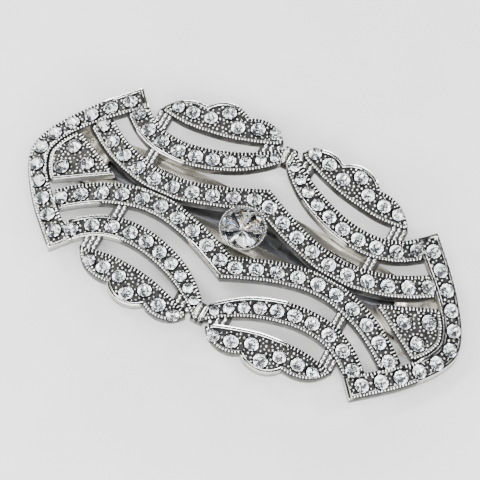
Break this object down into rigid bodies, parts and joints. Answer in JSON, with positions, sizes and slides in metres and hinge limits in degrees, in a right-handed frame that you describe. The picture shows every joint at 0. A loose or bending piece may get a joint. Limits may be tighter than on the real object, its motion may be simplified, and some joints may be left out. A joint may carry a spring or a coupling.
{
  "type": "rhinestone hair clip",
  "caption": "Openwork hair barrette: an arched cast plate pave-set with small clear stones and a large centre stone, on a hinged spring clasp with a squeeze release.",
  "frame": {"origin": "centre of the clip in X and Y, at the flat feet of the clasp arm that it rests on", "axes": "+X along the clip towards the catch, +Y across it towards the side that the fitting is offset to, +Z out of the stones"},
  "size_m": [0.0864, 0.0436, 0.0154],
  "materials": {
    "antique_silver": "bright cast metal, blackened in the recesses",
    "crystal": "faceted, foil backed",
    "center_crystal": "faceted, foil backed",
    "nickel_steel": "nickel plated, satin",
    "spring_steel": "satin strip"
  },
  "bodies": {
    "frame": {"front_casting": "antique_silver", "center_collet": "antique_silver", "center_stone": "center_crystal", "chevron_stones": "crystal", "outer_band_stones": "crystal", "inner_band_stones": "crystal", "leaf_stones": "crystal", "end_panel_stones": "crystal", "base_strip": "nickel_steel", "mounting_posts": "nickel_steel", "tension_bow": "spring_steel", "bow_rivets": "nickel_steel", "hinge_pin": "nickel_steel", "catch_bracket": "nickel_steel", "catch_rivet": "nickel_steel", "wing_pins": "nickel_steel"},
    "clasp_arm": {"clasp_arm": "nickel_steel"},
    "upper_wing": {"release_wing_upper": "nickel_steel"},
    "lower_wing": {"release_wing_lower": "nickel_steel"}
  },
  "joints": [
    {"name": "clasp_hinge", "type": "hinge", "parent": "frame", "child": "clasp_arm", "pos_m": [-0.0355, 0.0025, 0.0024], "axis": [0, 1, 0], "range_deg": [0, 80]},
    {"name": "upper_wing_squeeze", "type": "hinge", "parent": "frame", "child": "upper_wing", "pos_m": [0.0348, 0.0044, 0.0036], "axis": [-1, 0, 0], "range_deg": [0, 10], "stiffness_Nm_per_rad": 0.0002},
    {"name": "lower_wing_squeeze", "type": "hinge", "parent": "frame", "child": "lower_wing", "pos_m": [0.0348, 0.0006, 0.0036], "axis": [1, 0, 0], "range_deg": [0, 10]}
  ],
  "couplings": [
    {"joint": "lower_wing_squeeze", "follows": "upper_wing_squeeze", "ratio": 1}
  ]
}
